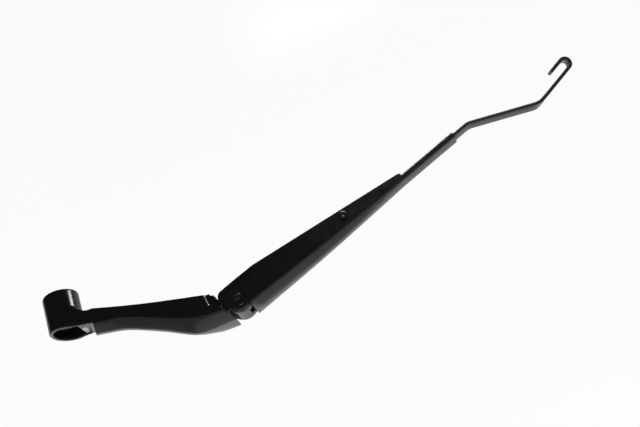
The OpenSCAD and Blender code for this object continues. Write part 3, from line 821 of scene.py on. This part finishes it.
# ---------------------------------------------------------------- the flat rod
# Length held in the crimp, then the free lengths between the corners of the rod's line
GRIP_L, NEAR_L, MIDDLE_L, LAST_L = 70, 15.7, 60, 42.6
# Radius and angle of the bend up and of the bend down
BEND_UP, BEND_DOWN = (13.0, 27.8), (14.0, 38.6)
CRIMP_GAP, ROLL_L = 0.05, 4


def rod_frames():
    """Places along the rod, from inside the crimp to the end of the hook's short leg"""
    bar = sizes("wiper_rod")
    thickness, gap = bar.bar_thickness / MM, bar.hook_gap / MM
    centre_z = -SHEET - CRIMP_GAP - thickness / 2
    place = RETAINER @ Matrix.Translation((RETAINER_L - GRIP_L, 0, centre_z))
    frames = [(place.copy(), 0.0)]
    roll_now = 0.0

    def straight(length, steps=4, roll=None):
        nonlocal place, roll_now
        start = roll_now
        for i in range(1, steps + 1):
            if roll is not None:
                roll_now = mix(start, roll, i / steps)
            frames.append((place @ Matrix.Translation((length * i / steps, 0, 0)), roll_now))
        place = place @ Matrix.Translation((length, 0, 0))

    def bend(radius, degrees, up, steps=16, roll=None):
        nonlocal place, roll_now
        start, sign = roll_now, (1 if up else -1)
        base = place
        for i in range(1, steps + 1):
            t = math.radians(degrees) * i / steps
            if roll is not None:
                roll_now = mix(start, roll, ease(i / steps))
            along, over = radius * math.sin(t), sign * radius * (1 - math.cos(t))
            place = (base @ Matrix.Translation((along, 0, over))
                     @ Matrix.Rotation(-sign * t, 4, "Y"))
            frames.append((place, roll_now))

    tan_up = BEND_UP[0] * math.tan(math.radians(BEND_UP[1]) / 2)
    tan_down = BEND_DOWN[0] * math.tan(math.radians(BEND_DOWN[1]) / 2)
    straight(GRIP_L + NEAR_L - tan_up)
    bend(*BEND_UP, True)
    straight(MIDDLE_L - tan_up - tan_down, 6)
    # the bar rolls about its own line through the second bend and just after it
    bend(*BEND_DOWN, False, 20, bar.hook_roll * 0.8)
    straight(ROLL_L, 4, bar.hook_roll)
    straight(LAST_L - tan_down - ROLL_L)
    # the hook lies in the rolled plane
    place = place @ Matrix.Rotation(roll_now, 4, "X")
    roll_now = 0.0
    bend((gap + thickness) / 2, 180, False, 32)
    straight(bar.short_leg / MM, 4)
    return frames


def build_rod():
    """Flat bar with rounded edges, swept along its places and ending in a rounded tip"""
    bar = sizes("wiper_rod")
    w, t, r = bar.bar_width / MM / 2, bar.bar_thickness / MM / 2, 0.9
    section = arc(w - r, t - r, r, 0, 90, 5) + arc(r - w, t - r, r, 90, 180, 5)
    section += arc(r - w, r - t, r, 180, 270, 5) + arc(w - r, r - t, r, 270, 360, 5)
    rings = []
    frames = rod_frames()
    for place, roll in frames:
        turn = place @ Matrix.Rotation(roll, 4, "X")
        rings.append([tuple(turn @ Vector((0, y, z))) for y, z in section])
    tip = frames[-1][0]
    for k, slim in ((0.5, 0.96), (0.9, 0.86), (1.2, 0.7)):
        rings.append([tuple(tip @ Vector((k, y * mix(slim, 1, 0.6), z * slim)))
                      for y, z in section])
    return loft("hook_rod", rings)


class WIPER_OT_rod(bpy.types.Operator):
    """Flat rod, bent twice and rolled into the J-hook that carries the blade"""
    bl_idname = "wiper.rod"
    bl_label = "Rod with hook"

    def execute(self, context):
        rod = build_rod()
        if len(rod.data.polygons) < 500:
            raise RuntimeError("the rod came out empty")
        finish_piece(rod, "arm_body", "rod", rod_paint(), sharp=40)
        return {"FINISHED"}


# ---------------------------------------------------------------- spring and rivets
SPRING_PIN = tuple(RETAINER @ Vector((104.6, 0, -9.7)))
# Along the spring's line from the anchor: the link's eye, and the start of the coil
EYE_X, COIL_X = 31.4, 37.0
# Radii of the loop in the eye and of the loop about the spring pin
EYE_LOOP_R, PIN_LOOP_R = 3.6, 3.45
STEPS_PER_TURN = 24
# Place of the spring pin along the retainer, for its width there
SPRING_PIN_S = 101.3


def tube(name, path, radius, sides=12):
    """Round wire along a path of points in millimetres"""
    points = [Vector(p) for p in path]
    rings, side = [], Vector((0.31, 0.9, 0.29))
    for i, p in enumerate(points):
        ahead = (points[min(i + 1, len(points) - 1)] - points[max(i - 1, 0)]).normalized()
        side = (side - ahead * side.dot(ahead)).normalized()
        other = ahead.cross(side)
        ring = []
        for k in range(sides):
            t = 2 * math.pi * k / sides
            ring.append(tuple(p + radius * (math.cos(t) * side + math.sin(t) * other)))
        rings.append(ring)
    return loft(name, rings)


def build_spring():
    """Tension spring: a loop in the link's eye, the close coil, and a hook about the spring pin"""
    spring = sizes("wiper_spring")
    coil_r = spring.coil / MM
    start, end = Vector((ANCHOR[0], 0, ANCHOR[1])), Vector(SPRING_PIN)
    line, length = (end - start).normalized(), (end - start).length
    place = Matrix((line, (0, 1, 0), line.cross(Vector((0, 1, 0))))).transposed().to_4x4()
    place.translation = start
    coil_end = length - 9.5

    def round_points(radius, angles):
        turns = [math.radians(a) for a in angles]
        return [(radius * math.cos(t), radius * math.sin(t)) for t in turns]

    path = [(EYE_X + x, y, 0) for x, y in round_points(EYE_LOOP_R, range(320, 9, -10))]
    # from the loop up to the coil
    path += [(EYE_X + EYE_LOOP_R + 0.2, 0.3, 0.3), (COIL_X - 0.9, 0.2, 1.6),
             (COIL_X - 0.3, 0.1, 3.2)]
    steps = spring.turns * STEPS_PER_TURN
    for i in range(steps + 1):
        t = math.radians(360 / STEPS_PER_TURN * i)
        path.append((mix(COIL_X, coil_end, i / steps), coil_r * math.sin(t), coil_r * math.cos(t)))
    # and from the coil down to the hook
    path += [(coil_end + 0.5, 0.1, 3.1), (coil_end + 1.4, 0.1, 1.4),
             (length - PIN_LOOP_R - 1.2, 0, 0.2)]
    path += [(length + x, 0, z) for x, z in round_points(PIN_LOOP_R, range(170, -141, -10))]
    return tube("tension_spring", [tuple(place @ Vector(p)) for p in path], spring.wire / MM / 2)


def build_rivet(name, place, half, shank, head):
    """Rivet whose ends are formed over: a rounded rim around a staked hollow"""
    x, z = place
    # height over the sheet and share of the head's width, from the rim to the hollow
    form = ((0, 0.5), (0.35, 0.5), (0.66, 0.46), (0.84, 0.4), (0.9, 0.33), (0.84, 0.27),
            (0.6, 0.21), (0.42, 0.14))
    end = [(half - 0.3, shank * 0.5), (half, shank * 0.5)]
    end += [(half + rise, head * share) for rise, share in form] + [(half + 0.36, 0.02)]
    return turned(name, [(-y, r) for y, r in reversed(end)] + end, (x, 0, z), "Y", 64)


class WIPER_OT_spring(bpy.types.Operator):
    """Tension spring with its two loops, and the two formed rivets"""
    bl_idname = "wiper.spring"
    bl_label = "Spring and rivets"

    def execute(self, context):
        wire = oiled_steel("drawn_spring_wire_oiled", finish("spring_wire"), "47484b", 0.34)
        spring = build_spring()
        if len(spring.data.polygons) < 500:
            raise RuntimeError("the spring came out empty")
        finish_piece(spring, "arm_body", "spring", wire, sharp=50)
        paint = rivet_paint()
        hinge = build_rivet("hinge_rivet", (HINGE_X, HINGE_Z), RETAINER_HW, 5.0, 6.6)
        finish_piece(hinge, "arm_body", "hinge_pin", paint, sharp=50)
        pin = build_rivet("spring_rivet", (SPRING_PIN[0], SPRING_PIN[2]),
                          retainer_half_width(SPRING_PIN_S), 4.6, 6.3)
        finish_piece(pin, "arm_body", "spring_pin", paint, sharp=50)
        return {"FINISHED"}


# ---------------------------------------------------------------- pieces that the CAD gives
class WIPER_OT_small_parts(bpy.types.Operator):
    """Bushes, anchor pin and link: the CAD's own solids with their real finishes"""
    bl_idname = "wiper.small_parts"
    bl_label = "Bushes, anchor and link"

    def execute(self, context):
        steel = oiled_steel("phosphated_and_oiled_steel", finish("link_steel"), "565653", 0.42)
        plastic = acetal()
        finishes = {"hinge_bush_left": plastic, "hinge_bush_right": plastic,
                    "anchor_pin": steel, "spring_link": steel}
        for name, material in finishes.items():
            if name not in NODES:
                raise RuntimeError("the frame has no node " + name)
            node = NODES[name]
            for slot in node.material_slots:
                slot.material = material
            if not node.material_slots:
                node.data.materials.append(material)
        return {"FINISHED"}


# ---------------------------------------------------------------- stage
# Cards that lie on the floor, in metres: from and to along X, from and to along Y
FLOOR = (-6, 6, -6, 6)
FLAG = (-1.2, 1.6, -0.1, 2.2)
REFLECTORS = {"hub_reflector": (0.24, 0.36, -0.01, 0.06), "bevel_reflector": (0.4, 0.5, 0.1, 0.13)}
REFLECTOR_RADIANCE, TOP_RADIANCE = 22.0, 0.9
# Camera fitted to the photograph: place in metres, the three axes and the lens in millimetres
CAMERA_AT = (0.28839, 0.73445, 0.41516)
CAMERA_RIGHT = (0.91591, -0.24248, 0.31985)
CAMERA_UP = (0.39667, 0.42515, -0.81358)
CAMERA_BACK = (0.06130, 0.87204, 0.48559)
CAMERA_LENS = 56.407


def lying(x0, x1, y0, y1, z):
    """Corners of a level rectangle"""
    return [(x0, y0, z), (x1, y0, z), (x1, y1, z), (x0, y1, z)]


def card(name, corners, material, seen=False):
    """Flat card of the stage; unless it is seen, only its light reaches the part"""
    mesh = bpy.data.meshes.new(name)
    mesh.from_pydata(corners, [], [tuple(range(len(corners)))])
    obj = bpy.data.objects.new(name, mesh)
    bpy.context.scene.collection.objects.link(obj)
    obj.data.materials.append(material)
    if not seen:
        obj.visible_camera = obj.visible_shadow = obj.visible_transmission = False
    return obj


def studio_world(scene):
    """White to the camera, a weaker grey as light on the part"""
    world = bpy.data.worlds.new("studio")
    scene.world = world
    world.use_nodes = True
    tree = world.node_tree
    tree.nodes.clear()
    ray = add_node(tree, "ShaderNodeLightPath")
    level = add_node(tree, "ShaderNodeMapRange", {
        "Value": ray.outputs["Is Camera Ray"], "To Min": 0.35, "To Max": 1.0})
    sky = add_node(tree, "ShaderNodeBackground", {
        "Color": (1, 1, 1, 1), "Strength": level.outputs["Result"]})
    add_node(tree, "ShaderNodeOutputWorld", {"Surface": sky.outputs["Background"]})


def photo_camera(scene):
    """Camera at the photograph's place and angle"""
    camera = bpy.data.objects.new("photo_camera", bpy.data.cameras.new("photo_camera"))
    scene.collection.objects.link(camera)
    camera.data.sensor_width = 36
    camera.data.lens = CAMERA_LENS
    camera.data.clip_start, camera.data.clip_end = 0.01, 30
    rows = zip(CAMERA_RIGHT, CAMERA_UP, CAMERA_BACK, CAMERA_AT)
    camera.matrix_world = Matrix((*rows, (0, 0, 0, 1)))
    scene.camera = camera


class WIPER_OT_stage(bpy.types.Operator):
    """Pale floor, soft studio light, black flag beside the arm and the photograph's camera"""
    bl_idname = "wiper.stage"
    bl_label = "Stage, light and camera"

    def execute(self, context):
        scene = context.scene
        group = sizes("wiper_stage")
        z = CAD_BOX[0][2] - group.floor_drop
        card("floor", lying(*FLOOR, z), floor_paper(), seen=True)
        # black flag on the floor, seen only in the near sides' gloss
        flag = card("black_flag", lying(*FLAG, z + 0.001), card_material("black_felt_flag", 0.0))
        flag.visible_diffuse = False
        # narrow lights that give the streaks on the hub and along the bevel
        for name, reach in REFLECTORS.items():
            strip = card(name, lying(*reach, z + 0.012), card_material(name, REFLECTOR_RADIANCE))
            strip.visible_diffuse = False
        # big softbox low behind the arm, and a weaker one overhead
        back = [(-2.4, -2.6, z), (2.8, -2.6, z), (2.8, -2.2, 2.0), (-2.4, -2.2, 2.0)]
        card("back_softbox", back, card_material("back_softbox", group.softbox))
        top = lying(-1.5, 2.0, -1.6, 1.4, 2.2)
        card("top_softbox", top, card_material("top_softbox", TOP_RADIANCE))
        studio_world(scene)
        photo_camera(scene)
        if scene.camera is None:
            raise RuntimeError("the scene has no camera")
        scene.view_settings.view_transform = "Standard"
        return {"FINISHED"}


class WIPER_PT_panel(bpy.types.Panel):
    """Lists the steps that dress the wiper arm"""
    bl_idname = "WIPER_PT_panel"
    bl_label = "Wiper arm"
    bl_space_type = "VIEW_3D"
    bl_region_type = "UI"
    bl_category = "Wiper arm"

    def draw(self, context):
        for group in GROUPS:
            for name in GROUPS[group].__annotations__:
                self.layout.prop(getattr(context.scene, group), name)
        for step in STEPS:
            self.layout.operator(step.bl_idname)


GROUPS = {"wiper_head": WiperHeadSizes, "wiper_retainer": WiperRetainerSizes,
          "wiper_rod": WiperRodSizes, "wiper_spring": WiperSpringSizes,
          "wiper_finishes": WiperFinishes, "wiper_stage": WiperStageSizes}
STEPS = (WIPER_OT_head, WIPER_OT_retainer, WIPER_OT_rod, WIPER_OT_spring, WIPER_OT_small_parts,
         WIPER_OT_stage)


def register():
    """Registers the groups, the steps and the panel"""
    for item in (*GROUPS.values(), *STEPS, WIPER_PT_panel):
        bpy.utils.register_class(item)
    for name, group in GROUPS.items():
        setattr(bpy.types.Scene, name, PointerProperty(type=group))

def unregister():
    """Takes back what register made"""
    for name in GROUPS:
        delattr(bpy.types.Scene, name)
    for item in reversed((*GROUPS.values(), *STEPS, WIPER_PT_panel)):
        bpy.utils.unregister_class(item)


def main():
    """Registers the add-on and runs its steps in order"""
    register()
    for step in STEPS:
        family, name = step.bl_idname.split(".")
        getattr(getattr(bpy.ops, family), name)()


if __name__ == "__main__":
    main()
